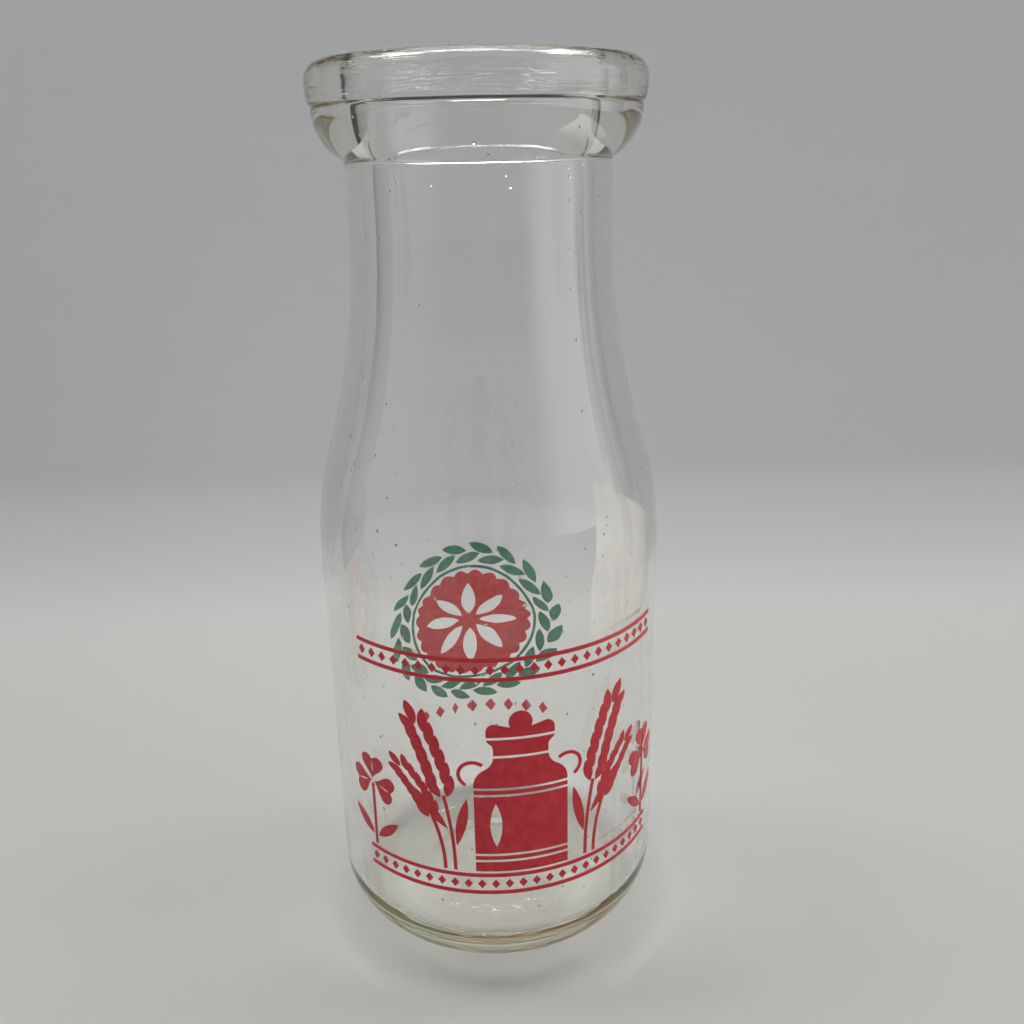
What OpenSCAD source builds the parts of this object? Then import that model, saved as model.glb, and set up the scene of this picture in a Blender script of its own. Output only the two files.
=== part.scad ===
// Round half-pint milk bottle of clear blown glass, with prints in fired enamel.
// It stands on z = 0 with its axis along Z, and the front print faces -Y.
// Sizes are in millimetres and angles in degrees.

/* [Body] */
// Overall height, table to rim
bottle_h = 155; // [138:0.5:172]
// Outside diameter of the straight body
body_d = 60.8; // [56:0.2:66]
// Wall thickness of the straight body
body_wall = 2.4; // [1.6:0.1:3.4]
// Outside radius of the rounded heel
heel_r = 12.5; // [9:0.5:14]
// Inside radius of the corner between wall and floor
floor_corner_r = 6; // [3:0.5:9]
// Height of the inside floor
floor_z = 6.4; // [5:0.1:9]
// Width of the flat ring that the bottle stands on
bearing_w = 2.6; // [1:0.1:5]
// Depth of the hollow under the base
push_up = 0.5; // [0.2:0.1:2.4]
// Width of the slope between the flat ring and the flat roof of the hollow
hollow_slope_w = 2.8; // [1:0.1:4]

/* [Shoulder and neck] */
// Height at which the outside leaves the straight body
shoulder_z = 75; // [68:0.5:82]
// Length of the straight neck, between the shoulder and the lip's bead
neck_l = 8.5; // [4:0.5:16]
// Outside diameter of the neck
neck_d = 43.3; // [40:0.1:46]
// Wall thickness of the neck
neck_wall = 4.3; // [3:0.1:5.2]
// Share of the shoulder that bulges outwards, the rest being hollow
shoulder_share = 0.34; // [0.25:0.01:0.6]
// How far below the outside shoulder the inside one begins
shoulder_drop = 4; // [0:0.5:9]

/* [Lip] */
// Outside diameter of the lip's upper ring
lip_d = 54.2; // [51:0.1:58]
// Height of the upper ring, mould seam to rim
lip_ring_h = 6.6; // [5.8:0.1:8]
// Step from the upper ring in to the bead below it
seam_step = 0.7; // [0.3:0.05:1.2]
// Height over which that step is made
seam_h = 0.5; // [0.3:0.05:1]
// Height of the bead below the seam
bead_h = 8.4; // [6:0.1:11]
// Share of the bead that bulges outwards, the rest being its hollow foot
bead_share = 0.9; // [0.5:0.01:0.95]

/* [Cap seat] */
// Diameter of the wall that grips a pressed-in paper cap
seat_d = 41.8; // [41:0.1:43]
// Depth of the cap's ledge below the rim
seat_depth = 6.7; // [5.5:0.1:8]
// Width of the ledge that the cap rests on
ledge_w = 1.5; // [0.8:0.1:2.2]
// Height of the throat, ledge down to the neck's bore
throat_h = 9; // [6:0.5:12]
// Share of the throat that bulges outwards, the rest being hollow
throat_share = 0.75; // [0.4:0.01:0.9]

/* [Front print] */
// Thickness of the fired enamel
enamel_t = 0.12; // [0.06:0.01:0.2]
// Turn of the front print's middle from -Y towards +X
front_turn = 8; // [-20:1:20]
// Height of the lower border's bottom edge
front_z = 20; // [16:0.5:24]
// Half of the angle that the borders span
border_half = 56; // [40:1:70]
// Overall width of a border, edge to edge
border_w = 4.2; // [3:0.1:6]
// Height of the picture between the borders
picture_h = 37; // [33:0.5:44]
// Height of the milk churn
churn_h = 31; // [24:0.5:34]
// Width of the milk churn's body
churn_w = 16; // [12:0.5:18]
// Length of the longer wheat stalk, root to tip
wheat_l = 33; // [26:0.5:36]
// Height of a clover sprig
sprig_h = 19; // [14:0.5:24]

/* [Back print] */
// Turn of the back print's middle from -Y towards +X
back_turn = 189; // [170:1:210]
// Height of the medallion's centre
back_z = 45; // [42:0.5:50]
// Radius of the medallion's red field
field_r = 13.4; // [10:0.1:15]
// Outer radius of the leaf wreath round it
wreath_r = 19.6; // [18:0.1:21]
// Number of leaves in the wreath, over both rows
wreath_leaves = 40; // [24:4:48]

/* [Hidden] */
$fn = 96;

body_r = body_d / 2;
body_bore_r = body_r - body_wall;
neck_r = neck_d / 2;
neck_bore_r = neck_r - neck_wall;
lip_r = lip_d / 2;
bead_r = lip_r - seam_step;
seat_r = seat_d / 2;
throat_r = seat_r - ledge_w;
rim_r = (lip_r - seat_r) / 2;
seam_z = bottle_h - lip_ring_h;
bead_top_z = seam_z - seam_h;
bead_foot_z = bead_top_z - bead_h;
neck_z = bead_foot_z - neck_l;
rim_z = bottle_h - rim_r;
seat_z = bottle_h - seat_depth;
throat_foot_z = seat_z - throat_h;
bearing_out_r = body_r - heel_r;
bearing_in_r = bearing_out_r - bearing_w;
hollow_r = bearing_in_r - hollow_slope_w;

// Width of a drawn line, height of a border's rule and least gap between two motifs
stroke = 0.6;
rule_h = 0.7;
print_gap = 0.5;
// How far a cutting solid reaches past what it cuts
cut_over = 1;

clear_glass = [0.80, 0.86, 0.84, 0.45];
red_enamel = [0.74, 0.10, 0.15];
green_enamel = [0.16, 0.45, 0.34];

// Points of an arc about (x, y), from angle a0 to angle a1
function arc(x, y, r, a0, a1, steps = 16) =
    [for (i = [0:steps]) let (a = a0 + (a1 - a0) * i / steps) [x + r * cos(a), y + r * sin(a)]];

// Points of an S-curve from the wide end (r0, z0) to the narrow end (r1, z1), vertical at both
// ends: a bulging arc that takes the given share, then a hollow arc that runs on from it
function s_curve(r0, z0, r1, z1, share, steps = 18) =
    let (up = z1 > z0 ? 1 : -1,
         turn = 2 * atan((r0 - r1) / abs(z1 - z0)),
         radius = abs(z1 - z0) / sin(turn),
         bulge = radius * share,
         hollow = radius - bulge)
    concat(
        [for (i = [0:steps]) let (a = turn * i / steps)
            [r0 - bulge + bulge * cos(a), z0 + up * bulge * sin(a)]],
        [for (i = [1:steps]) let (a = turn * (1 - i / steps))
            [r1 + hollow - hollow * cos(a), z1 - up * hollow * sin(a)]]);

function reversed(points) = [for (i = [len(points) - 1:-1:0]) points[i]];

// Outline of the glass on one side of the axis, from the hollow base out, up, over and down again
glass_outline = concat(
    [[0, push_up], [hollow_r, push_up], [bearing_in_r, 0]],
    arc(bearing_out_r, heel_r, heel_r, -90, 0),
    s_curve(body_r, shoulder_z, neck_r, neck_z, shoulder_share),
    reversed(s_curve(bead_r, bead_top_z, neck_r, bead_foot_z, bead_share)),
    [[lip_r, seam_z]],
    arc(lip_r - rim_r, rim_z, rim_r, 0, 180),
    [[seat_r, seat_z]],
    s_curve(throat_r, seat_z, neck_bore_r, throat_foot_z, throat_share),
    reversed(s_curve(body_bore_r, shoulder_z - shoulder_drop, neck_bore_r, neck_z, shoulder_share)),
    arc(body_bore_r - floor_corner_r, floor_z + floor_corner_r, floor_corner_r, 0, -90),
    [[0, floor_z]]);

module glass_bottle() {
    color(clear_glass) rotate_extrude($fn = 180) polygon(glass_outline);
}

// Flat drawing thrown outwards onto the body's wall, upright, at a turn and a height
module on_wall(turn, z) {
    rotate([0, 0, turn]) translate([0, 0, z]) rotate([90, 0, 0])
        linear_extrude(height = body_r + enamel_t + cut_over) children();
}

// What a drawing leaves on the wall as a layer of enamel
module enamel(colour) {
    color(colour) intersection() {
        translate([0, 0, heel_r]) difference() {
            cylinder(r = body_r + enamel_t, h = shoulder_z - heel_r);
            translate([0, 0, -cut_over]) cylinder(r = body_r, h = shoulder_z - heel_r + 2 * cut_over);
        }
        union() children();
    }
}

// Band of enamel round the wall over an angle, centred on a turn
module rule(colour, turn, half_angle, z, h) {
    color(colour) rotate([0, 0, turn - 90 - half_angle])
        rotate_extrude(angle = 2 * half_angle) translate([body_r, z]) square([enamel_t, h]);
}

// Pointed leaf or grain that stands on the origin
module leaf(l, w) {
    r = (l * l + w * w) / (4 * w);
    intersection() {
        translate([r - w / 2, l / 2]) circle(r);
        translate([w / 2 - r, l / 2]) circle(r);
    }
}

module lozenge(w, h) {
    polygon([[0, -h / 2], [w / 2, 0], [0, h / 2], [-w / 2, 0]]);
}

// Angle on the wall of a length along it
function wall_angle(l) = l / body_r * 180 / PI;

picture_z = front_z + border_w;

// The churn's drawing keeps its proportions, as shares of its width and its height
churn_half = churn_w / 2;
churn_neck_half = churn_half * 0.58;
churn_lid_half = churn_half * 0.72;
churn_handle_r = churn_half / 3;
churn_knob_r = churn_half / 4;
churn_flare_h = churn_half / 4;
churn_lid_edge_r = churn_half / 6;
churn_shoulder_z = churn_h * 0.55;
churn_neck_z = churn_h * 0.73;
churn_rim_z = churn_h * 0.84;
churn_band_h = churn_h / 60;
churn_band_levels = [0.06, 0.1, 0.48, 0.52, 0.72, 0.83];
churn_side = concat(
    [[churn_half, 0]],
    s_curve(churn_half, churn_shoulder_z, churn_neck_half, churn_neck_z, 0.55, 5),
    reversed(s_curve(churn_lid_half, churn_rim_z, churn_neck_half, churn_rim_z - churn_flare_h, 0.5, 4)),
    arc(churn_lid_half - churn_lid_edge_r, churn_rim_z + churn_lid_edge_r, churn_lid_edge_r, 0, 90, 3),
    arc(0, churn_h - churn_knob_r, churn_knob_r, -30, 85, 8));

// Outline of the churn, grown sideways by a margin
function churn_outline(margin = 0) = concat(
    [for (p = churn_side) [p[0] + margin, p[1]]],
    [for (p = reversed(churn_side)) [-p[0] - margin, p[1]]]);

// Churn with bare bands and a bare gleam, and a ring handle at each shoulder
module churn_drawing() {
    gleam_x = -churn_half * 0.55;
    gleam_z = churn_h * 0.16;
    gleam_h = churn_h * 0.28;
    gleam_w = churn_half / 4;
    handle_z = churn_shoulder_z + churn_handle_r * 0.8;
    difference() {
        polygon(churn_outline());
        for (level = churn_band_levels)
            translate([-churn_w, churn_h * level]) square([2 * churn_w, churn_band_h]);
        translate([gleam_x, gleam_z]) leaf(gleam_h, gleam_w);
    }
    difference() {
        for (side = [-1, 1]) translate([side * churn_half, handle_z]) difference() {
            circle(churn_handle_r);
            circle(churn_handle_r - stroke);
        }
        polygon(churn_outline(print_gap));
    }
}

module front_churn() {
    enamel(red_enamel) on_wall(front_turn, picture_z + print_gap) churn_drawing();
}

// Point on a stalk that leans over to the right on a circle, a length up from its root
function stalk_angle(s, bend) = s / bend * 180 / PI;
function stalk_point(s, bend) = [bend * (1 - cos(stalk_angle(s, bend))), bend * sin(stalk_angle(s, bend))];

// One ear of wheat on its stalk, with grains in pairs over the upper half and two blades below
module wheat_drawing(l, bend, blades) {
    pairs = 6;
    grain_l = l / 7.5;
    grain_w = grain_l * 0.42;
    grain_splay = 24;
    ear_l = l * 0.45;
    pitch = ear_l / pairs;
    blade_l = l / 3.4;
    blade_w = l / 18;
    inner_blade_splay = -16;
    outer_blade_splay = 34;
    stalk_l = l - grain_l;
    lean = stalk_angle(stalk_l, bend);
    intersection() {
        translate([bend, 0]) difference() {
            circle(bend + stroke / 2);
            circle(bend - stroke / 2);
        }
        polygon([[bend, 0], [-bend, 0], [bend - 2 * bend * cos(lean), 2 * bend * sin(lean)]]);
    }
    translate(stalk_point(stalk_l, bend)) rotate(-lean) leaf(grain_l, grain_w);
    for (i = [0:pairs - 1], side = [-1, 1]) {
        s = stalk_l - (i + 0.7) * pitch;
        translate(stalk_point(s, bend)) rotate(-stalk_angle(s, bend) - side * grain_splay)
            translate([side * stroke, 0]) leaf(grain_l, grain_w);
    }
    if (blades) for (splay = [inner_blade_splay, outer_blade_splay]) {
        s = splay > 0 ? l * 0.25 : l * 0.15;
        translate(stalk_point(s, bend)) rotate(-stalk_angle(s, bend) - splay) leaf(blade_l, blade_w);
    }
}

wheat_root = churn_half + churn_handle_r + 2 * print_gap;

// Two stalks on one root, a tall one and a short one that leans further, to one side of the churn
module wheat_stand(side) {
    short_l = wheat_l * 0.72;
    enamel(red_enamel)
        on_wall(front_turn + side * wall_angle(wheat_root), picture_z + print_gap)
            mirror([side < 0 ? 1 : 0, 0]) {
                wheat_drawing(wheat_l, wheat_l * 2, true);
                translate([3 * stroke, 0]) wheat_drawing(short_l, wheat_l * 0.8, false);
            }
}

module front_wheat_left() {
    wheat_stand(-1);
}

module front_wheat_right() {
    wheat_stand(1);
}

// Clover leaf of three heart-shaped leaflets on a stem that stands on the origin
module clover_drawing(h) {
    lobe_r = h / 13;
    lobe_x = lobe_r * 0.85;
    lobe_y = lobe_r * 2.6;
    heart_half = lobe_r * 1.7;
    heart_y = lobe_r * 2.1;
    heart_l = lobe_r * 3;
    crown_z = h - 4 * lobe_r;
    blade_l = h * 0.34;
    blade_w = h * 0.1;
    for (turn = [-105, 0, 105]) translate([0, crown_z]) rotate(turn) {
        for (side = [-1, 1]) translate([side * lobe_x, lobe_y]) circle(lobe_r);
        polygon([[0, stroke / 2], [heart_half, heart_y], [0, heart_l], [-heart_half, heart_y]]);
    }
    translate([-stroke / 2, 0]) square([stroke, crown_z + stroke]);
    for (side = [-1, 1]) translate([0, blade_w]) rotate(-side * 50) leaf(blade_l, blade_w);
}

sprig_root = wheat_root + wheat_l / 2;

module front_clover_sprigs() {
    enamel(red_enamel) for (side = [-1, 1])
        on_wall(front_turn + side * wall_angle(sprig_root), picture_z + print_gap) clover_drawing(sprig_h);
}

// Border of two rules with a row of lozenges between them
module border(z) {
    lozenge_h = border_w - 2 * rule_h - 2 * print_gap;
    lozenge_w = lozenge_h * 0.8;
    least_pitch = lozenge_h * 1.3;
    count = floor(border_half / wall_angle(least_pitch));
    pitch = border_half / (count + 0.5);
    rule(red_enamel, front_turn, border_half, z, rule_h);
    rule(red_enamel, front_turn, border_half, z + border_w - rule_h, rule_h);
    for (i = [-count:count])
        enamel(red_enamel) on_wall(front_turn + i * pitch, z + border_w / 2) lozenge(lozenge_w, lozenge_h);
}

module front_upper_border() {
    border(picture_z + picture_h);
}

module front_lower_border() {
    border(front_z);
}

// Round red field with a scalloped edge and a flower left bare in its middle
module back_medallion() {
    scallops = 24;
    petals = 8;
    scallop_r = field_r * sin(90 / scallops) * 1.1;
    petal_l = field_r * 0.62;
    petal_w = petal_l * 0.36;
    flower_eye_r = field_r * 0.16;
    enamel(red_enamel) on_wall(back_turn, back_z) difference() {
        union() {
            circle(field_r - scallop_r);
            for (i = [0:scallops - 1]) rotate(i * 360 / scallops)
                translate([0, field_r - scallop_r]) circle(scallop_r);
        }
        for (i = [0:petals - 1]) rotate(i * 360 / petals)
            translate([0, flower_eye_r]) leaf(petal_l, petal_w);
    }
}

ring_r = field_r + print_gap + stroke;

module back_ring() {
    enamel(green_enamel) on_wall(back_turn, back_z) difference() {
        circle(ring_r);
        circle(ring_r - stroke);
    }
}

// Two rows of leaves that lie along the ring, one inside the other, as on a plaited wreath
module back_wreath() {
    row_leaves = wreath_leaves / 2;
    row_w = (wreath_r - ring_r - print_gap) / 2;
    leaf_l = 2 * PI * wreath_r / row_leaves * 0.92;
    leaf_w = row_w * 0.9;
    leaf_slant = 18;
    enamel(green_enamel) for (row = [0, 1], i = [0:row_leaves - 1])
        on_wall(back_turn, back_z) rotate((i + row / 2) * 360 / row_leaves)
            translate([0, ring_r + print_gap + row_w * (row + 0.5)])
                rotate(90 + (row == 0 ? -leaf_slant : leaf_slant)) translate([0, -leaf_l / 2])
                    leaf(leaf_l, leaf_w);
}

module back_lozenge_row() {
    count = 4;
    lozenge_h = 3;
    lozenge_w = lozenge_h * 0.7;
    pitch = wall_angle(lozenge_h * 1.4);
    enamel(red_enamel) for (i = [-count:count])
        on_wall(back_turn + i * pitch, back_z - wreath_r - print_gap - lozenge_h / 2)
            lozenge(lozenge_w, lozenge_h);
}

glass_bottle();
front_churn();
front_wheat_left();
front_wheat_right();
front_clover_sprigs();
front_upper_border();
front_lower_border();
back_medallion();
back_ring();
back_wreath();
back_lozenge_row();
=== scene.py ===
"""Round half-pint milk bottle of clear glass with fired enamel prints, on a pale paper sweep."""

import math

import bmesh
import bpy
from mathutils import Matrix, Vector, noise


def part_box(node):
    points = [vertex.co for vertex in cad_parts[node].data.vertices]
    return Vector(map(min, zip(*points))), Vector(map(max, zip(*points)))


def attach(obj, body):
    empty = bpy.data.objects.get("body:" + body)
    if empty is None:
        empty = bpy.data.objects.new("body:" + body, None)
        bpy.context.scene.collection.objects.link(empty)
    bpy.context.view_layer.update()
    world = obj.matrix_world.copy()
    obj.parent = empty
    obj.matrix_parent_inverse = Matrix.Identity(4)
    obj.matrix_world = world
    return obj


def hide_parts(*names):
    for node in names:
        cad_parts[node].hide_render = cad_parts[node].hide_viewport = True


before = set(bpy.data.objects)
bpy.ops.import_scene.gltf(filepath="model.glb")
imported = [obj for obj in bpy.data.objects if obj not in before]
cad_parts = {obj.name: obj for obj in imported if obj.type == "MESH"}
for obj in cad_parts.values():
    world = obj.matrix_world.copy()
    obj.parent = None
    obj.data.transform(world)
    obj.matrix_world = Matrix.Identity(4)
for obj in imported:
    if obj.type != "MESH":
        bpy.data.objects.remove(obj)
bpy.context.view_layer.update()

# Glass bottle
# One piece of clear soda-lime glass. It is blown in a two-part mould, which leaves an upright seam
# on each side, and a ring mould closes on the lip and leaves a level seam round it.

MM = 0.001
bottle_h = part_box("glass_bottle")[1].z
body_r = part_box("glass_bottle")[1].x
body_wall = 2.4 * MM
heel_r = 12.5 * MM
floor_z = 6.4 * MM
floor_corner_r = 6 * MM
bearing_w = 2.6 * MM
push_up = 0.5 * MM
hollow_slope_w = 2.8 * MM
base_round = 0.4 * MM
shoulder_z = 75 * MM
shoulder_drop = 4 * MM
shoulder_share = 0.34
neck_r = 21.65 * MM
neck_wall = 4.3 * MM
neck_l = 8.5 * MM
lip_r = 27.1 * MM
lip_ring_h = 6.6 * MM
seam_step = 0.7 * MM
seam_h = 0.5 * MM
seam_groove = 0.2 * MM
ring_tuck = 0.6 * MM
ring_side_h = 3 * MM
bead_h = 8.4 * MM
bead_share = 0.9
seat_r = 20.9 * MM
seat_depth = 6.7 * MM
ledge_w = 1.5 * MM
ledge_round = 0.6 * MM
throat_h = 9 * MM
throat_share = 0.75

bore_r = body_r - body_wall
neck_bore_r = neck_r - neck_wall
bead_r = lip_r - seam_step
throat_r = seat_r - ledge_w
rim_r = (lip_r - seat_r) / 2
seam_z = bottle_h - lip_ring_h
bead_top_z = seam_z - seam_h
bead_foot_z = bead_top_z - bead_h
neck_z = bead_foot_z - neck_l
seat_z = bottle_h - seat_depth
bearing_out_r = body_r - heel_r
bearing_in_r = bearing_out_r - bearing_w


def arc(r, z, radius, start, end, steps=12):
    """Points of an arc about (r, z), between two angles in degrees."""
    angles = [math.radians(start + (end - start) * i / steps) for i in range(steps + 1)]
    return [(r + radius * math.cos(a), z + radius * math.sin(a)) for a in angles]


def s_curve(r0, z0, r1, z1, share, steps=16):
    """Points from a wide end to a narrow end, upright at both: a bulging arc, then a hollow one."""
    up = math.copysign(1, z1 - z0)
    turn = 2 * math.atan2(r0 - r1, abs(z1 - z0))
    bulge = abs(z1 - z0) / math.sin(turn) * share
    hollow = abs(z1 - z0) / math.sin(turn) - bulge
    angles = [turn * i / steps for i in range(steps + 1)]
    outer = [(r0 - bulge + bulge * math.cos(a), z0 + up * bulge * math.sin(a)) for a in angles]
    inner = [(r1 + hollow - hollow * math.cos(a), z1 - up * hollow * math.sin(a)) for a in angles]
    return outer + inner[-2::-1]


outside = (
    [(0, push_up), (bearing_in_r - hollow_slope_w, push_up), (bearing_in_r, 0)]
    + arc(bearing_out_r, heel_r, heel_r, -90, 0, 24)
    + [(body_r, z * MM) for z in range(18, 72, 6)]
    + s_curve(body_r, shoulder_z, neck_r, neck_z, shoulder_share, 28)
    + s_curve(bead_r, bead_top_z, neck_r, bead_foot_z, bead_share)[::-1]
    + [(bead_r - seam_groove, bead_top_z + seam_groove)]
    + [(lip_r + ring_tuck * r, seam_z + ring_side_h * (1 + z)) for r, z in arc(-1, 0, 1, -90, 0, 10)]
    + arc(lip_r - rim_r, bottle_h - rim_r, rim_r, 0, 90)
)
inside = (
    arc(lip_r - rim_r, bottle_h - rim_r, rim_r, 90, 180)[1:]
    + arc(seat_r - ledge_round, seat_z + ledge_round, ledge_round, 0, -90, 5)
    + arc(throat_r + ledge_round, seat_z - ledge_round, ledge_round, 90, 180, 6)[:-1]
    + s_curve(throat_r, seat_z - ledge_round, neck_bore_r, seat_z - throat_h, throat_share)
    + s_curve(bore_r, shoulder_z - shoulder_drop, neck_bore_r, neck_z, shoulder_share, 28)[::-1]
    + [(bore_r, z * MM) for z in range(66, 14, -6)]
    + arc(bore_r - floor_corner_r, floor_z + floor_corner_r, floor_corner_r, 0, -90, 16)
    + [(r / 2 * MM, floor_z) for r in range(43, -1, -1)]
)

seam_turn = 44
turn_steps = 240
seam_side = Matrix.Rotation(math.radians(seam_turn - 90), 3, "Z") @ Vector((1, 0, 0))

bottle = bmesh.new()
in_layer = bottle.verts.layers.float.new("inside")
wall_line = []
for side, points in ((0, outside), (1, inside)):
    for r, z in points:
        corner = bottle.verts.new(seam_side * r + Vector((0, 0, z)))
        corner[in_layer] = side
        wall_line.append(corner)
for a, b in zip(wall_line, wall_line[1:]):
    bottle.edges.new((a, b))
bmesh.ops.bevel(
    bottle, geom=wall_line[1:3], offset=base_round, offset_type="OFFSET", segments=4, profile=0.5,
    affect="VERTICES", material=-1,
)
bmesh.ops.spin(
    bottle, geom=bottle.verts[:] + bottle.edges[:], cent=(0, 0, 0), axis=(0, 0, 1),
    angle=2 * math.pi, steps=turn_steps, use_merge=True,
)
bmesh.ops.remove_doubles(bottle, verts=bottle.verts, dist=0.001 * MM)
bmesh.ops.recalc_face_normals(bottle, faces=bottle.faces)

# The blown inside is never quite even: it swells in long upright streaks, and its floor is dimpled.
# The mould's skin ripples less, and stands proud along the two upright seams.
seam_proud = 0.1 * MM
seam_half_turn = 0.01
streak_l = 0.3
broad_streaks = 2
broad_swell = 0.1 * MM
fine_streaks = 11
fine_swell = 0.018 * MM
skin_waves = 4
skin_waves_from = Vector((9, 0, 0))
skin_swell = 0.02 * MM
floor_wave_w = 2.5 * MM
floor_wave_h = 0.03 * MM
even_middle_r = 1 * MM
dimples_at = Vector((2, -18.5)) * MM
dimples_half = Vector((10, 3.5)) * MM
dimple_w = 1.5 * MM
dimple_h = 0.5 * MM
for corner in bottle.verts:
    r = math.hypot(corner.co.x, corner.co.y)
    if r < even_middle_r or corner.co.z > bead_foot_z:
        continue
    around = Vector((corner.co.x / r, corner.co.y / r, corner.co.z / streak_l))
    if corner[in_layer] > 0.5:
        rise = min(1, max(0, (corner.co.z - floor_z) / floor_corner_r))
        swell = broad_swell * noise.noise(around * broad_streaks)
        swell += fine_swell * noise.noise(around * fine_streaks)
        swell *= rise
        corner.co.z += floor_wave_h * noise.noise(corner.co / floor_wave_w) * (1 - rise)
        across = abs(corner.co.x - dimples_at.x) < dimples_half.x
        along = abs(corner.co.y - dimples_at.y) < dimples_half.y
        if rise == 0 and across and along:
            corner.co.z += dimple_h * noise.noise(corner.co / dimple_w)
    else:
        rise = min(1, corner.co.z / heel_r)
        swell = skin_swell * (noise.noise(around * skin_waves + skin_waves_from) - 1) * rise
        off_seam = abs(corner.co.to_2d().normalized().cross(seam_side.to_2d()))
        if rise == 1 and off_seam < seam_half_turn:
            swell += seam_proud
    corner.co.x *= 1 + swell / r
    corner.co.y *= 1 + swell / r


def new_material(name):
    """A new material, with its nodes and links."""
    material = bpy.data.materials.new(name)
    material.use_nodes = True
    return material, material.node_tree.nodes, material.node_tree.links


def glass_material():
    """Glass with a trace of straw colour: mould ripples, seed bubbles, and wear streaks on the lip."""
    material, nodes, links = new_material("clear_glass")
    shader = nodes["Principled BSDF"]
    shader.inputs["Base Color"].default_value = (1, 1, 1, 1)
    shader.inputs["Roughness"].default_value = 0.0
    shader.inputs["IOR"].default_value = 1.5
    shader.inputs["Transmission Weight"].default_value = 1
    tint = nodes.new("ShaderNodeVolumeAbsorption")
    tint.inputs["Color"].default_value = (0.79, 0.78, 0.62, 1)
    tint.inputs["Density"].default_value = 25
    links.new(tint.outputs["Volume"], nodes["Material Output"].inputs["Volume"])
    place = nodes.new("ShaderNodeTexCoord")
    ripple = nodes.new("ShaderNodeTexNoise")
    ripple.inputs["Scale"].default_value = 120
    ripple.inputs["Detail"].default_value = 2
    bump = nodes.new("ShaderNodeBump")
    bump.inputs["Strength"].default_value = 0.04
    bump.inputs["Distance"].default_value = 0.4 * MM
    links.new(place.outputs["Object"], ripple.inputs["Vector"])
    links.new(ripple.outputs["Fac"], bump.inputs["Height"])
    split = nodes.new("ShaderNodeSeparateXYZ")
    lip_only = nodes.new("ShaderNodeMapRange")
    lip_only.inputs["From Min"].default_value = seam_z
    lip_only.inputs["From Max"].default_value = seam_z + 1 * MM
    stretch = nodes.new("ShaderNodeMapping")
    stretch.inputs["Scale"].default_value = (80, 80, 1700)
    streaks = nodes.new("ShaderNodeTexNoise")
    streaks.inputs["Scale"].default_value = 1
    wear = nodes.new("ShaderNodeBump")
    wear.inputs["Distance"].default_value = 0.12 * MM
    links.new(place.outputs["Object"], split.inputs["Vector"])
    links.new(split.outputs["Z"], lip_only.inputs["Value"])
    links.new(place.outputs["Object"], stretch.inputs["Vector"])
    links.new(stretch.outputs["Vector"], streaks.inputs["Vector"])
    links.new(streaks.outputs["Fac"], wear.inputs["Height"])
    links.new(lip_only.outputs["Result"], wear.inputs["Strength"])
    seeds = nodes.new("ShaderNodeTexVoronoi")
    seeds.inputs["Scale"].default_value = 260
    dent = nodes.new("ShaderNodeMapRange")
    dent.inputs["From Max"].default_value = 0.07
    pits = nodes.new("ShaderNodeBump")
    pits.inputs["Distance"].default_value = 0.12 * MM
    links.new(place.outputs["Object"], seeds.inputs["Vector"])
    links.new(seeds.outputs["Distance"], dent.inputs["Value"])
    links.new(dent.outputs["Result"], pits.inputs["Height"])
    links.new(bump.outputs["Normal"], pits.inputs["Normal"])
    links.new(pits.outputs["Normal"], wear.inputs["Normal"])
    links.new(wear.outputs["Normal"], shader.inputs["Normal"])
    return material


def make_object(mesh_work, name, material):
    """Turns a bmesh into an object of one material."""
    mesh = bpy.data.meshes.new(name)
    mesh_work.to_mesh(mesh)
    mesh_work.free()
    mesh.materials.append(material)
    thing = bpy.data.objects.new(name, mesh)
    bpy.context.scene.collection.objects.link(thing)
    return thing


def finish_piece(mesh_work, name, material, smooth_below=30):
    """Turns a bmesh into a smooth piece of the bottle, with edges sharp from an angle in degrees."""
    piece = make_object(mesh_work, name, material)
    piece.data.shade_smooth()
    piece.data.set_sharp_from_angle(angle=math.radians(smooth_below))
    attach(piece, "root")
    return piece


glass = finish_piece(bottle, "clear_bottle", glass_material(), 60)
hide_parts("glass_bottle")

# Front churn
# A milk churn drawn in red ceramic enamel, screened on to the wall and fired, so that it is fused
# with the glass. Its hoops and gleam are left bare.

enamel_proud = 0.1 * MM
enamel_sunk = 0.04 * MM
strip_w = 1 * MM


def leaf(length, width, steps=8):
    """Outline of a pointed leaf that stands on the origin."""
    radius = (length**2 + width**2) / (4 * width)
    half = math.degrees(math.asin(length / 2 / radius))
    right = arc(width / 2 - radius, length / 2, radius, -half, half, steps)
    return right + [(-x, y) for x, y in right[-2:0:-1]]


def circle(radius, steps=48):
    """Outline of a circle about the origin."""
    return arc(0, 0, radius, 0, 360, steps)[:-1]


def placed(outline, x, y, turn=0):
    """An outline turned about the origin, in degrees, and then moved."""
    c, s = math.cos(math.radians(turn)), math.sin(math.radians(turn))
    return [(x + c * u - s * v, y + s * u + c * v) for u, v in outline]


def stencil(drawing, *outlines):
    """Fills an outline in a flat drawing, less the outlines inside it."""
    edges = []
    for outline in outlines:
        corners = [drawing.verts.new((x, y, 0)) for x, y in outline]
        edges += [drawing.edges.new(pair) for pair in zip(corners, corners[1:] + corners[:1])]
    bmesh.ops.triangle_fill(drawing, use_beauty=True, edges=edges, normal=(0, 0, 1))


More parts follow.
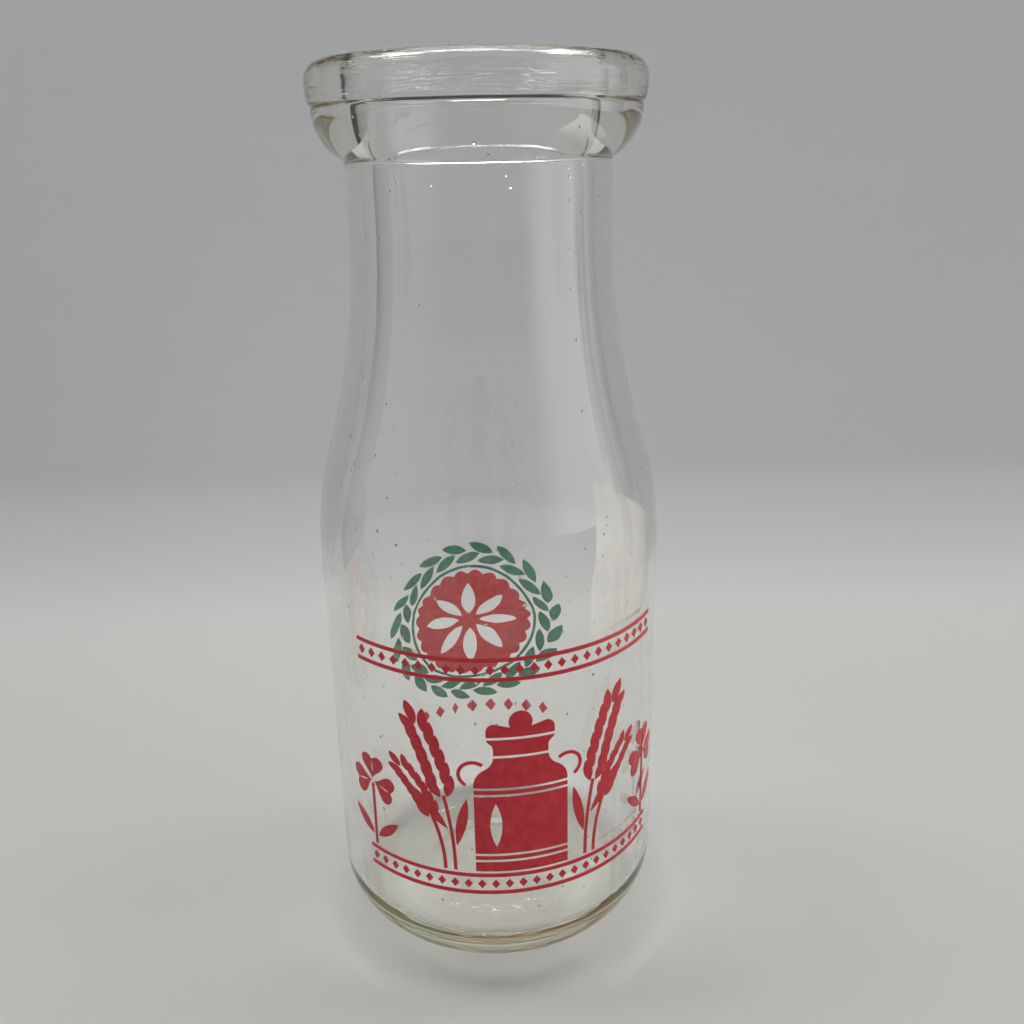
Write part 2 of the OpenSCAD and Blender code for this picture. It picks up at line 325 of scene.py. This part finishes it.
def throw_on_wall(drawing, layer, turn, z):
    """Bends a flat drawing on to the wall at a turn from the front, and adds it to a layer."""
    reach = max(abs(corner.co.x) for corner in drawing.verts)
    lines = int(reach / strip_w)
    for i in range(-lines, lines + 1):
        everything = drawing.verts[:] + drawing.edges[:] + drawing.faces[:]
        bmesh.ops.bisect_plane(
            drawing, geom=everything, plane_co=(i * strip_w, 0, 0), plane_no=(1, 0, 0), dist=0.001 * MM
        )
    under_r = body_r - enamel_sunk
    for corner in drawing.verts:
        angle = math.asin(corner.co.x / body_r) + math.radians(turn)
        corner.co = (under_r * math.sin(angle), -under_r * math.cos(angle), z + corner.co.y)
    flat = bpy.data.meshes.new("drawing")
    drawing.to_mesh(flat)
    drawing.free()
    layer.from_mesh(flat)
    bpy.data.meshes.remove(flat)


def fire(layer, node, material):
    """Gives a layer on the wall its thickness, and makes it a piece named after a node, whose CAD part it
    hides.
    """
    raised = bmesh.ops.extrude_face_region(layer, geom=layer.faces[:])["geom"]
    grow = (body_r + enamel_proud) / (body_r - enamel_sunk)
    bmesh.ops.scale(
        layer, vec=(grow, grow, 1), verts=[item for item in raised if isinstance(item, bmesh.types.BMVert)]
    )
    bmesh.ops.recalc_face_normals(layer, faces=layer.faces)
    piece = finish_piece(layer, node + "_enamel", material)
    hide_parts(node)


def enamel_material(name, deep, thin):
    """Fired enamel: a soft gloss over a colour that is paler where the screen left it thin."""
    material, nodes, links = new_material(name)
    shader = nodes["Principled BSDF"]
    place = nodes.new("ShaderNodeTexCoord")
    cloud = nodes.new("ShaderNodeTexNoise")
    cloud.inputs["Scale"].default_value = 500
    cloud.inputs["Detail"].default_value = 6
    cloud.inputs["Roughness"].default_value = 0.7
    colours = nodes.new("ShaderNodeValToRGB")
    colours.color_ramp.elements[0].position = 0.42
    colours.color_ramp.elements[0].color = (*deep, 1)
    colours.color_ramp.elements[1].position = 0.72
    colours.color_ramp.elements[1].color = (*thin, 1)
    gloss = nodes.new("ShaderNodeMapRange")
    gloss.inputs["To Min"].default_value = 0.22
    gloss.inputs["To Max"].default_value = 0.42
    bump = nodes.new("ShaderNodeBump")
    bump.inputs["Strength"].default_value = 0.2
    bump.inputs["Distance"].default_value = 0.05 * MM
    links.new(place.outputs["Object"], cloud.inputs["Vector"])
    links.new(cloud.outputs["Fac"], colours.inputs["Fac"])
    links.new(cloud.outputs["Fac"], gloss.inputs["Value"])
    links.new(cloud.outputs["Fac"], bump.inputs["Height"])
    links.new(colours.outputs["Color"], shader.inputs["Base Color"])
    links.new(gloss.outputs["Result"], shader.inputs["Roughness"])
    links.new(bump.outputs["Normal"], shader.inputs["Normal"])
    return material


red = enamel_material("red_enamel", (0.5, 0.006, 0.018), (0.58, 0.03, 0.045))
stroke = 0.6 * MM
print_gap = 0.5 * MM
front_turn = 8
border_w = 4.2 * MM
border_foot = 20 * MM
picture_h = 37 * MM
picture_foot = border_foot + border_w + print_gap
churn_h = 31 * MM
churn_half = 8 * MM
churn_neck = churn_half * 0.58
churn_lid = churn_half * 0.72
churn_rim_z = churn_h * 0.84
knob_r = churn_half / 4
lid_edge_r = churn_half / 6
handle_r = churn_half / 3
handle_z = churn_h * 0.55 + handle_r * 0.8
band_h = churn_h / 60
bands_at = (0.06, 0.1, 0.48, 0.52, 0.72, 0.83)
right_side = (
    [(churn_half, 0)]
    + s_curve(churn_half, churn_h * 0.55, churn_neck, churn_h * 0.73, 0.55, 8)
    + s_curve(churn_lid, churn_rim_z, churn_neck, churn_rim_z - churn_half / 4, 0.5, 5)[::-1]
    + arc(churn_lid - lid_edge_r, churn_rim_z + lid_edge_r, lid_edge_r, 0, 90, 5)
    + arc(0, churn_h - knob_r, knob_r, -30, 85, 10)
)
drawing = bmesh.new()
gleam = placed(leaf(churn_h * 0.28, churn_half / 4), -churn_half * 0.55, churn_h * 0.16)
stencil(drawing, right_side + [(-x, y) for x, y in right_side[::-1]], gleam)
for level in bands_at:
    low, high = churn_h * level, churn_h * level + band_h
    for z in (low, high):
        everything = drawing.verts[:] + drawing.edges[:] + drawing.faces[:]
        bmesh.ops.bisect_plane(drawing, geom=everything, plane_co=(0, z, 0), plane_no=(0, 1, 0))
    bare = [face for face in drawing.faces if low < face.calc_center_median().y < high]
    bmesh.ops.delete(drawing, geom=bare, context="FACES")
for side in (-1, 1):
    loop = arc(churn_half, handle_z, handle_r, -58, 130, 20)
    loop += arc(churn_half, handle_z, handle_r - stroke, 130, -58, 20)
    stencil(drawing, [(side * x, y) for x, y in loop])
layer = bmesh.new()
throw_on_wall(drawing, layer, front_turn, picture_foot)
fire(layer, "front_churn", red)

# Front wheat
# A tall and a short ear of wheat on each side of the churn, in the same red enamel. The grains
# stand in pairs with bare glass between them, as a cut screen leaves them.

wheat_l = 33 * MM
wheat_root = churn_half + handle_r + 2 * print_gap


def stalk_at(s, bend):
    """Point and lean in degrees, a length up a stalk that leans over on a circle."""
    return bend * (1 - math.cos(s / bend)), bend * math.sin(s / bend), -math.degrees(s / bend)


def draw_wheat(drawing, length, bend, root, mirror, blades):
    """One ear on its stalk, with grains in pairs over the upper half."""
    pairs = 6
    grain_l = length / 7.5
    grain_w = grain_l * 0.42
    grain_splay = 24
    pitch = length * 0.45 / pairs
    stalk_l = length - grain_l
    ear_foot = stalk_l - (pairs - 0.4) * pitch
    shapes = []
    left, right = [], []
    for i in range(13):
        x, y, lean = stalk_at(ear_foot * i / 12, bend)
        side = placed([(-stroke / 2, 0), (stroke / 2, 0)], x, y, lean)
        left.append(side[0])
        right.append(side[1])
    shapes.append(right + left[::-1])
    x, y, lean = stalk_at(stalk_l, bend)
    shapes.append(placed(leaf(grain_l, grain_w), x, y, lean))
    for i in range(pairs):
        x, y, lean = stalk_at(stalk_l - (i + 0.7) * pitch, bend)
        for side in (-1, 1):
            grain = placed(leaf(grain_l, grain_w), side * stroke, 0, -side * grain_splay)
            shapes.append(placed(grain, x, y, lean))
    for side, share, splay in ((-1, 0.15, 16), (1, 0.25, 34)) if blades else ():
        x, y, lean = stalk_at(length * share, bend)
        blade = placed(leaf(length / 3.4, length / 18), side * stroke, 0, -side * splay)
        shapes.append(placed(blade, x, y, lean))
    for outline in shapes:
        stencil(drawing, [(mirror * (x + root), y) for x, y in outline])


for side, node in ((-1, "front_wheat_left"), (1, "front_wheat_right")):
    drawing = bmesh.new()
    draw_wheat(drawing, wheat_l, wheat_l * 2, 0, side, True)
    draw_wheat(drawing, wheat_l * 0.72, wheat_l * 0.8, 3 * stroke, side, False)
    layer = bmesh.new()
    throw_on_wall(drawing, layer, front_turn + side * math.degrees(wheat_root / body_r), picture_foot)
    fire(layer, node, red)

# Front clover sprigs
# A clover leaf of three hearts on a stem at each end of the picture, in the same red enamel. A
# vein is left bare in each heart.

sprig_h = 19 * MM
sprig_root = wheat_root + wheat_l / 2
lobe_r = sprig_h / 13
crown_z = sprig_h - 4 * lobe_r
layer = bmesh.new()
for side in (-1, 1):
    drawing = bmesh.new()
    for turn in (-105, 0, 105):
        heart = []
        for i in range(28):
            t = 2 * math.pi * i / 28
            across = math.sin(t) ** 3
            along = (13 * math.cos(t) - 5 * math.cos(2 * t) - 2 * math.cos(3 * t) - math.cos(4 * t)) / 16
            heart.append((across * 1.9 * lobe_r, (along + 1.2) * 1.75 * lobe_r))
        vein = placed(leaf(2.1 * lobe_r, 0.3 * lobe_r, 5), 0, 0.9 * lobe_r)
        stencil(drawing, placed(heart, 0, crown_z, turn), placed(vein, 0, crown_z, turn))
    stem_h = crown_z - stroke
    stencil(drawing, [(-stroke / 2, 0), (stroke / 2, 0), (stroke / 2, stem_h), (-stroke / 2, stem_h)])
    for blade_side in (-1, 1):
        blade = leaf(sprig_h * 0.34, sprig_h * 0.1)
        stencil(drawing, placed(blade, blade_side * stroke, sprig_h * 0.1, -blade_side * 50))
    throw_on_wall(drawing, layer, front_turn + side * math.degrees(sprig_root / body_r), picture_foot)
fire(layer, "front_clover_sprigs", red)

# Front borders
# A band above and a band below the picture, each two thin rules with a row of lozenges between
# them, in the same red enamel.

rule_h = 0.7 * MM
border_half = 56
lozenge_h = border_w - 2 * rule_h - 2 * print_gap
lozenge_pitch = lozenge_h * 1.3
count = int(border_half / math.degrees(lozenge_pitch / body_r))
to_left_end = Matrix.Rotation(math.radians(front_turn - border_half), 3, "Z")
left_end = to_left_end @ Vector((0, enamel_sunk - body_r, 0))


def lozenge(height, half_w):
    """Outline of a lozenge about the origin."""
    return [(0, -height / 2), (half_w, 0), (0, height / 2), (-half_w, 0)]


for node, foot in (
    ("front_lower_border", border_foot),
    ("front_upper_border", border_foot + border_w + picture_h),
):
    layer = bmesh.new()
    for low in (foot, foot + border_w - rule_h):
        ends = [layer.verts.new(left_end + Vector((0, 0, z))) for z in (low, low + rule_h)]
        bmesh.ops.spin(
            layer, geom=ends + [layer.edges.new(ends)], cent=(0, 0, 0), axis=(0, 0, 1),
            angle=math.radians(2 * border_half), steps=2 * border_half,
        )
    for i in range(-count, count + 1):
        drawing = bmesh.new()
        stencil(drawing, lozenge(lozenge_h, lozenge_h * 0.4))
        throw_on_wall(drawing, layer, front_turn + i * border_half / (count + 0.5), foot + border_w / 2)
    fire(layer, node, red)

# Back medallion
# A round field with a scalloped edge on the back of the bottle, with a flower of eight petals left
# bare in its middle, screened on to the wall and fired. Its red is painted lighter than the front's:
# painted light that makes up for the little light falling on its inside face, which is what shows through
# the glass.

back_turn = 189
back_z = 45 * MM
field_r = 13.4 * MM
scallops = 24
scallop_steps = 8
scallop_h = field_r * math.sin(math.pi / 2 / scallops)
edge = []
for i in range(scallops * scallop_steps):
    t = math.pi * i / scallop_steps
    r = field_r - scallop_h * (1 - abs(math.sin(t)))
    edge.append((r * math.cos(2 * t / scallops), r * math.sin(2 * t / scallops)))
petal_count = 8
petal_l = field_r * 0.62
petal_w = petal_l * 0.36
flower_eye_r = field_r * 0.16
petals = []
for i in range(petal_count):
    petal = placed(leaf(petal_l, petal_w), 0, flower_eye_r)
    petals.append(placed(petal, 0, 0, i * 360 / petal_count))
# Painted light: this red is the front's red painted lighter, for the dimly lit inside face of the back
# prints.
red_painted_lighter = enamel_material("red_enamel_painted_lighter", (0.86, 0.032, 0.048), (0.92, 0.11, 0.11))
drawing = bmesh.new()
stencil(drawing, edge, *petals)
layer = bmesh.new()
throw_on_wall(drawing, layer, back_turn, back_z)
fire(layer, "back_medallion", red_painted_lighter)

# Back ring and wreath
# A thin ring and two rows of leaves round the medallion, in green enamel from a second screen,
# fired on to the wall like the red.

green = enamel_material("green_enamel", (0.03, 0.32, 0.18), (0.12, 0.43, 0.29))
ring_r = field_r + print_gap + stroke
drawing = bmesh.new()
stencil(drawing, circle(ring_r, 96), circle(ring_r - stroke, 96))
layer = bmesh.new()
throw_on_wall(drawing, layer, back_turn, back_z)
fire(layer, "back_ring", green)

wreath_r = 19.6 * MM
row_leaves = 20
row_w = (wreath_r - ring_r - print_gap) / 2
wreath_leaf_l = 2 * math.pi * wreath_r / row_leaves * 0.92
drawing = bmesh.new()
for row in (0, 1):
    for i in range(row_leaves):
        slant = 72 if row == 0 else 108
        blade = placed(leaf(wreath_leaf_l, row_w * 0.9), 0, -wreath_leaf_l / 2)
        blade = placed(blade, 0, 0, slant)
        blade = placed(blade, 0, ring_r + print_gap + row_w * (row + 0.5))
        stencil(drawing, placed(blade, 0, 0, (i + row / 2) * 360 / row_leaves))
layer = bmesh.new()
throw_on_wall(drawing, layer, back_turn, back_z)
fire(layer, "back_wreath", green)

# Back lozenge row
# Nine lozenges in a row under the wreath, in the medallion's red enamel, painted lighter in the same way,
# and from the same screen.
# They are fired on to the wall with it.

mark_h = 3 * MM
mark_pitch = mark_h * 1.4
layer = bmesh.new()
for i in range(-4, 5):
    drawing = bmesh.new()
    stencil(drawing, lozenge(mark_h, mark_h * 0.35))
    turn = back_turn + i * math.degrees(mark_pitch / body_r)
    throw_on_wall(drawing, layer, turn, back_z - wreath_r - print_gap - mark_h / 2)
fire(layer, "back_lozenge_row", red_painted_lighter)

# Paper sweep
# Stage: a table covered with pale paper, and a narrower sheet that curves up behind the bottle. Where it
# curves up, its paper is painted lighter and a trace cooler, as painted light for the upright part, which
# gets less light than the table; it is clear to a camera behind it. A black board past the sheet is seen
# only through the glass, where it stands as painted shade for dark parts of the room and draws the dark
# lines of the lip and neck.

painted_lighter_from_z = 0.04
paper, nodes, links = new_material("pale_paper")
nodes["Principled BSDF"].inputs["Roughness"].default_value = 0.9
nodes["Principled BSDF"].inputs["Specular IOR Level"].default_value = 0.1
place = nodes.new("ShaderNodeTexCoord")
split = nodes.new("ShaderNodeSeparateXYZ")
rise = nodes.new("ShaderNodeMapRange")
rise.inputs["From Max"].default_value = painted_lighter_from_z
# Painted light: the paper goes from the table's tone to a lighter, cooler one up the curve, to lift the
# upright part, which gets less light.
tone = nodes.new("ShaderNodeValToRGB")
tone.color_ramp.elements[0].color = (0.48, 0.48, 0.456, 1)
tone.color_ramp.elements[1].color = (0.66, 0.67, 0.695, 1)
links.new(place.outputs["Object"], split.inputs["Vector"])
links.new(split.outputs["Z"], rise.inputs["Value"])
links.new(rise.outputs["Result"], tone.inputs["Fac"])
links.new(tone.outputs["Color"], nodes["Principled BSDF"].inputs["Base Color"])
facing = nodes.new("ShaderNodeNewGeometry")
ray = nodes.new("ShaderNodeLightPath")
behind = nodes.new("ShaderNodeMath")
behind.operation = "MULTIPLY"
clear = nodes.new("ShaderNodeBsdfTransparent")
one_sided = nodes.new("ShaderNodeMixShader")
links.new(facing.outputs["Backfacing"], behind.inputs[0])
links.new(ray.outputs["Is Camera Ray"], behind.inputs[1])
links.new(behind.outputs["Value"], one_sided.inputs["Fac"])
links.new(nodes["Principled BSDF"].outputs["BSDF"], one_sided.inputs[1])
links.new(clear.outputs["BSDF"], one_sided.inputs[2])
links.new(one_sided.outputs["Shader"], nodes["Material Output"].inputs["Surface"])
table_half = 0.8
sweep_left = -0.273
sweep_right = 0.33
sweep_r = 0.048
sweep_y = 0.085
sweep_h = 0.22
air_gap = 0.05 * MM
sheet = bmesh.new()
bmesh.ops.create_grid(sheet, x_segments=1, y_segments=1, size=table_half)
bmesh.ops.translate(sheet, vec=(0, 0, -air_gap), verts=sheet.verts)
line = arc(sweep_y, sweep_r - air_gap, sweep_r, -90, 0, 24) + [(sweep_y + sweep_r, sweep_h)]
corners = [sheet.verts.new((sweep_left, y, z)) for y, z in line]
edges = [sheet.edges.new(pair) for pair in zip(corners, corners[1:])]
pulled = bmesh.ops.extrude_edge_only(sheet, edges=edges)["geom"]
bmesh.ops.translate(
    sheet, vec=(sweep_right - sweep_left, 0, 0),
    verts=[item for item in pulled if isinstance(item, bmesh.types.BMVert)],
)
sheet.normal_update()
turned_away = [face for face in sheet.faces if face.normal.z < 0 or face.normal.y > 0]
bmesh.ops.reverse_faces(sheet, faces=turned_away)
sweep = make_object(sheet, "paper_sweep", paper)
sweep.data.shade_smooth()

# Painted shade: the black board is seen only through the glass, where it stands for dark parts of the
# room.
board_left = -1.5
board_right = 0.6
board_top_half = 0.16
board_top = 0.3
board_y = sweep_y + sweep_r + 2 * MM
board_outline = (
    (board_left, 0), (board_right, 0), (board_right, sweep_h), (board_top_half, sweep_h),
    (board_top_half, board_top), (-board_top_half, board_top), (-board_top_half, sweep_h),
    (board_left, sweep_h),
)
black, nodes, links = new_material("black_board")
nodes["Principled BSDF"].inputs["Base Color"].default_value = (0.01, 0.01, 0.01, 1)
nodes["Principled BSDF"].inputs["Roughness"].default_value = 1
panel = bmesh.new()
panel.faces.new([panel.verts.new((x, board_y, z)) for x, z in board_outline])
black_board = make_object(panel, "black_board", black)
black_board.visible_camera = False
black_board.visible_diffuse = False
black_board.visible_glossy = False
black_board.visible_shadow = False

# Light
# Stage: a long lamp overhead and a large dim one in front light the bottle plainly, with a window on
# each side of the room. Two more lamps and a glowing card on the right show only as gleams on its skin.
# The
# card glows though it is no lamp: its glow is painted brighter at the front and dimmer at its foot, as a
# painted reflection of a lit card.
# The room is evenly pale where it is looked at, also through the glass.


def soft_box(name, place, aim, width, height, radiance):
    """A rectangular lamp of even radiance, turned towards a point."""
    lamp = bpy.data.lights.new(name, "AREA")
    lamp.shape = "RECTANGLE"
    lamp.size = width
    lamp.size_y = height
    lamp.energy = radiance * math.pi * width * height
    box = bpy.data.objects.new(name, lamp)
    turned = (Vector(aim) - Vector(place)).to_track_quat("-Z", "Y").to_matrix().to_4x4()
    box.matrix_world = Matrix.Translation(place) @ turned
    box.visible_camera = False
    bpy.context.scene.collection.objects.link(box)
    return box


soft_box("ceiling_lamp", (0.03, 0.12, 1.2), (0.03, 0.12, 0), width=1.3, height=0.2, radiance=12)
fill = soft_box("front_fill", (0, -1, 0.9), (0, 0.1, 0.1), width=2.4, height=1.4, radiance=0.4)
fill.visible_glossy = False
left_glint = soft_box(
    "left_glint", (-0.58, 0.15, 1.19), (-0.58, 0.15, 0), width=0.4, height=0.6, radiance=8
)
right_glint = soft_box(
    "right_glint", (0.66, 0.2, 1.19), (0.66, 0.2, 0), width=0.45, height=0.7, radiance=8
)

card_x = 0.143
card_outline = ((-0.075, 0), (0.112, 0), (0.112, 0.034), (-0.055, 0.106))
card_front_y = -0.065
card_front_glow = 4.2
card_back_y = 0.085
card_back_glow = 0.7
card_foot_share = 0.3
card_full_z = 0.055
# Painted reflection: the card glows, brighter at its front and dimmer at its foot, and shows only in the
# bottle's skin.
card_glow_material, nodes, links = new_material("glowing_card")
nodes.remove(nodes["Principled BSDF"])
glow = nodes.new("ShaderNodeEmission")
glow.inputs["Color"].default_value = (1, 0.92, 0.74, 1)
place = nodes.new("ShaderNodeTexCoord")
split = nodes.new("ShaderNodeSeparateXYZ")
fade = nodes.new("ShaderNodeMapRange")
fade.inputs["From Min"].default_value = card_front_y
fade.inputs["From Max"].default_value = card_back_y
fade.inputs["To Min"].default_value = card_front_glow
fade.inputs["To Max"].default_value = card_back_glow
links.new(place.outputs["Object"], split.inputs["Vector"])
rise = nodes.new("ShaderNodeMapRange")
rise.inputs["From Max"].default_value = card_full_z
rise.inputs["To Min"].default_value = card_foot_share
strength = nodes.new("ShaderNodeMath")
strength.operation = "MULTIPLY"
links.new(split.outputs["Y"], fade.inputs["Value"])
links.new(split.outputs["Z"], rise.inputs["Value"])
links.new(fade.outputs["Result"], strength.inputs[0])
links.new(rise.outputs["Result"], strength.inputs[1])
links.new(strength.outputs["Value"], glow.inputs["Strength"])
links.new(glow.outputs["Emission"], nodes["Material Output"].inputs["Surface"])
panel = bmesh.new()
panel.faces.new([panel.verts.new((card_x, y, z)) for y, z in card_outline])
card = make_object(panel, "right_card", card_glow_material)
card.visible_camera = False
card.visible_shadow = False
for item in (left_glint, right_glint, card):
    item.visible_diffuse = False
    item.visible_transmission = False

pale_room = (0.36, 0.36, 0.38, 1)
window_squash = (1, 1, 0.5)
window_core = 0.99
gleam_gain = 0.6
glass_bounces = 64
world = bpy.data.worlds.new("room")
world.use_nodes = True
nodes, links = world.node_tree.nodes, world.node_tree.links
direction = nodes.new("ShaderNodeTexCoord")
split = nodes.new("ShaderNodeSeparateXYZ")
height = nodes.new("ShaderNodeMapRange")
height.inputs["From Min"].default_value = -1
tone = nodes.new("ShaderNodeValToRGB")
tone.color_ramp.elements[0].position = 0.78
tone.color_ramp.elements[0].color = (0.04, 0.04, 0.04, 1)
tone.color_ramp.elements[1].position = 0.95
tone.color_ramp.elements[1].color = pale_room
links.new(direction.outputs["Generated"], split.inputs["Vector"])
links.new(split.outputs["Z"], height.inputs["Value"])
links.new(height.outputs["Result"], tone.inputs["Fac"])
light = tone.outputs["Color"]
for name, towards, reach, brightness in (
    ("left_window", (-0.978, -0.208, 0), 0.62, 0.42),
    ("right_window", (0.95, -0.31, 0), 0.77, 1.5),
):
    flat = nodes.new("ShaderNodeVectorMath")
    flat.operation = "MULTIPLY"
    flat.inputs[1].default_value = window_squash
    unit = nodes.new("ShaderNodeVectorMath")
    unit.operation = "NORMALIZE"
    facing = nodes.new("ShaderNodeVectorMath")
    facing.operation = "DOT_PRODUCT"
    facing.inputs[1].default_value = towards
    window = nodes.new("ShaderNodeMapRange")
    window.name = name
    window.interpolation_type = "SMOOTHSTEP"
    window.inputs["From Min"].default_value = reach
    window.inputs["From Max"].default_value = window_core
    window.inputs["To Max"].default_value = brightness
    both = nodes.new("ShaderNodeMix")
    both.data_type = "RGBA"
    both.blend_type = "ADD"
    both.inputs["Factor"].default_value = 1
    links.new(direction.outputs["Generated"], flat.inputs[0])
    links.new(flat.outputs["Vector"], unit.inputs[0])
    links.new(unit.outputs["Vector"], facing.inputs[0])
    links.new(facing.outputs["Value"], window.inputs["Value"])
    links.new(light, both.inputs[6])
    links.new(window.outputs["Result"], both.inputs[7])
    light = both.outputs[2]
ray = nodes.new("ShaderNodeLightPath")
looked_at = nodes.new("ShaderNodeMath")
looked_at.operation = "MAXIMUM"
pale = nodes.new("ShaderNodeMix")
pale.data_type = "RGBA"
pale.inputs[7].default_value = pale_room
links.new(ray.outputs["Is Camera Ray"], looked_at.inputs[0])
links.new(ray.outputs["Is Transmission Ray"], looked_at.inputs[1])
links.new(looked_at.outputs["Value"], pale.inputs["Factor"])
links.new(light, pale.inputs[6])
links.new(pale.outputs[2], nodes["Background"].inputs["Color"])
gleam = nodes.new("ShaderNodeMath")
gleam.operation = "MULTIPLY_ADD"
gleam.inputs[1].default_value = gleam_gain
gleam.inputs[2].default_value = 1
links.new(ray.outputs["Is Glossy Ray"], gleam.inputs[0])
links.new(gleam.outputs["Value"], nodes["Background"].inputs["Strength"])
bpy.context.scene.world = world
bpy.context.scene.cycles.blur_glossy = 0
bpy.context.scene.cycles.max_bounces = glass_bounces
bpy.context.scene.cycles.transmission_bounces = glass_bounces
bpy.context.scene.cycles.glossy_bounces = glass_bounces

# Camera
# A phone held in front of the bottle and a little above it, tipped down. Its place, turn and lens
# are fitted to the bottle's outline.

lens_at = Vector((0, -0.17728, 0.14153))
pitch = math.radians(19.36)
yaw = math.radians(1.366)
roll = math.radians(-1.139)
sensor_w = 36
focal_px = 1033.27
frame_px = 1024
forward = Vector((math.sin(yaw) * math.cos(pitch), math.cos(yaw) * math.cos(pitch), -math.sin(pitch)))
level = Vector((math.cos(yaw), -math.sin(yaw), 0))
upright = level.cross(forward)
right = level * math.cos(roll) + upright * math.sin(roll)
up = upright * math.cos(roll) - level * math.sin(roll)
camera_data = bpy.data.cameras.new("camera")
camera_data.sensor_width = sensor_w
camera_data.lens = sensor_w * focal_px / frame_px
camera_data.clip_start = 0.01
camera = bpy.data.objects.new("camera", camera_data)
turned = Matrix((right, up, -forward)).transposed().to_4x4()
camera.matrix_world = Matrix.Translation(lens_at) @ turned
bpy.context.scene.collection.objects.link(camera)
bpy.context.scene.camera = camera
bpy.context.scene.view_settings.view_transform = "Standard"
